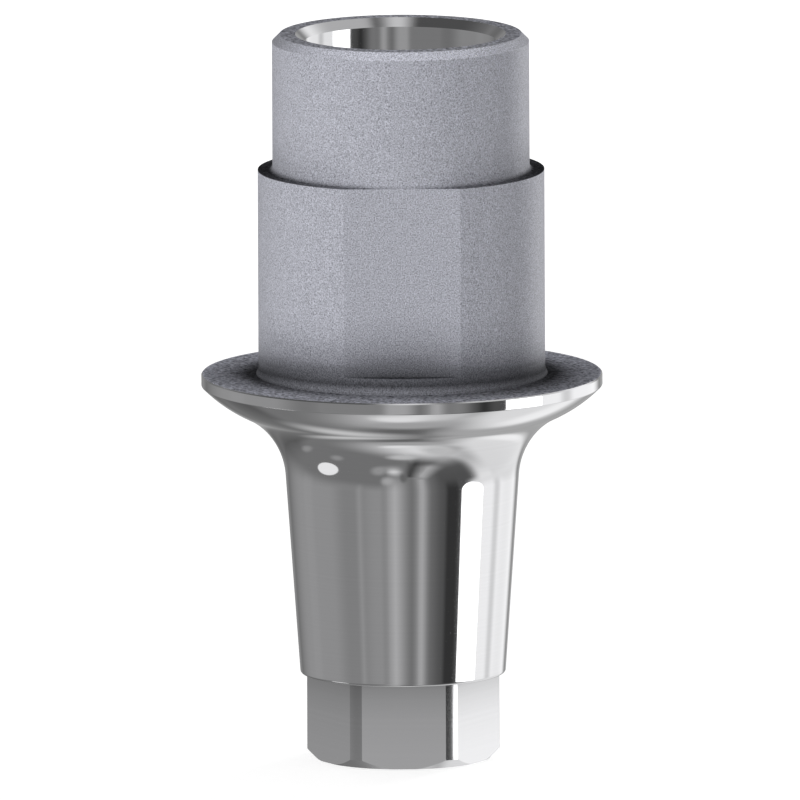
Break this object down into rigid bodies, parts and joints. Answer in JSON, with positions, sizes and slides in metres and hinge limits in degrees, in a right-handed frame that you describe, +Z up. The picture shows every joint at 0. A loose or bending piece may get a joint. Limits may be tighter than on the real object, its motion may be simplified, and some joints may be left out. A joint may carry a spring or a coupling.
{
  "type": "dental abutment",
  "caption": "One-piece titanium base for a screw-retained crown: stepped blasted post with one flat, round collar, flared neck, conical seat and hexagonal index, with a screw channel.",
  "frame": {"origin": "centre of the hexagonal index's flat end face, the lowest point of the part", "axes": "+Z up the axis towards the mouth of the screw channel; the post's flat faces -Y"},
  "size_m": [0.005, 0.005, 0.0091],
  "materials": {
    "titanium": "grade 5 titanium, grit-blasted on the post and the collar's top, polished elsewhere"
  },
  "bodies": {
    "root": {"abutment": "titanium"}
  },
  "joints": []
}
